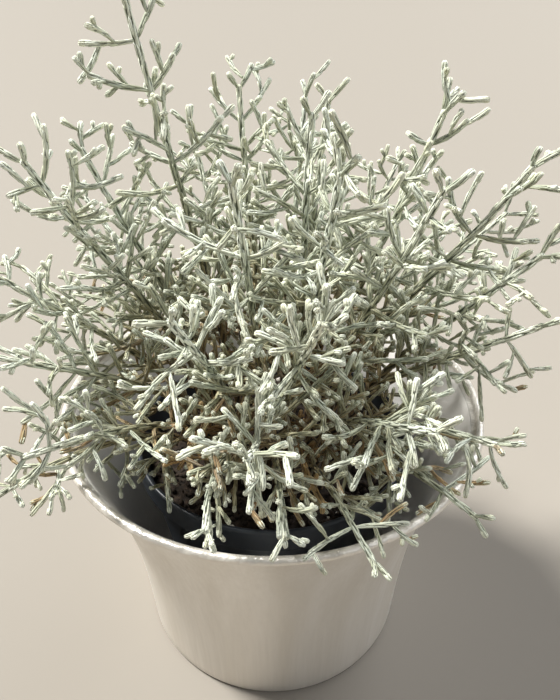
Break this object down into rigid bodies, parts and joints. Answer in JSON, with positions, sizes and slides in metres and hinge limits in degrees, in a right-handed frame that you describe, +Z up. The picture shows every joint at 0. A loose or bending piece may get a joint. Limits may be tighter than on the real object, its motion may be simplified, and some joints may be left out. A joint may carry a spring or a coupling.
{
  "type": "potted cushion bush",
  "caption": "Silver cushion bush with stiff, wide-branching scale-leaved stems, standing in a black nursery pot inside a flared brushed-metal cover pot.",
  "frame": {"origin": "middle of the cover pot's foot, on the surface that it stands on", "axes": "+Z up along the pots' axis, -Y towards the side that the picture shows, +X to its right"},
  "size_m": [0.1835, 0.1805, 0.2299],
  "materials": {
    "brushed_metal": "brushed up and down, satin, with a bright rolled bead",
    "black_plastic": "thin moulded plastic, blue-black, faint sheen",
    "soil": "dark crumbly potting mix with pale specks",
    "silver_foliage": "grey-green under white felt, dull, brown at the foot",
    "dry_foliage": "dry orange-brown, dull"
  },
  "bodies": {
    "root": {"cover_pot": "brushed_metal", "nursery_pot": "black_plastic", "potting_soil": "soil", "leafy_stem_01": "silver_foliage", "leafy_stem_02": "silver_foliage", "leafy_stem_03": "silver_foliage", "leafy_stem_04": "silver_foliage", "leafy_stem_05": "silver_foliage", "leafy_stem_06": "silver_foliage", "leafy_stem_07": "silver_foliage", "leafy_stem_08": "silver_foliage", "leafy_stem_09": "silver_foliage", "leafy_stem_10": "silver_foliage", "leafy_stem_11": "silver_foliage", "leafy_stem_12": "silver_foliage", "leafy_stem_13": "silver_foliage", "leafy_stem_14": "silver_foliage", "leafy_stem_15": "silver_foliage", "leafy_stem_16": "silver_foliage", "leafy_stem_17": "silver_foliage", "leafy_stem_18": "silver_foliage", "leafy_stem_19": "silver_foliage", "leafy_stem_20": "silver_foliage", "leafy_stem_21": "silver_foliage", "leafy_stem_22": "silver_foliage", "leafy_stem_23": "silver_foliage", "leafy_stem_24": "silver_foliage", "leafy_stem_25": "silver_foliage", "leafy_stem_26": "silver_foliage", "leafy_stem_27": "silver_foliage", "leafy_stem_28": "silver_foliage", "leafy_stem_29": "silver_foliage", "leafy_stem_30": "silver_foliage", "leafy_stem_31": "silver_foliage", "leafy_stem_32": "silver_foliage", "leafy_stem_33": "silver_foliage", "leafy_stem_34": "silver_foliage", "leafy_stem_35": "silver_foliage", "leafy_stem_36": "silver_foliage", "dry_stem_01": "dry_foliage", "dry_stem_02": "dry_foliage", "dry_stem_03": "dry_foliage"}
  },
  "joints": []
}
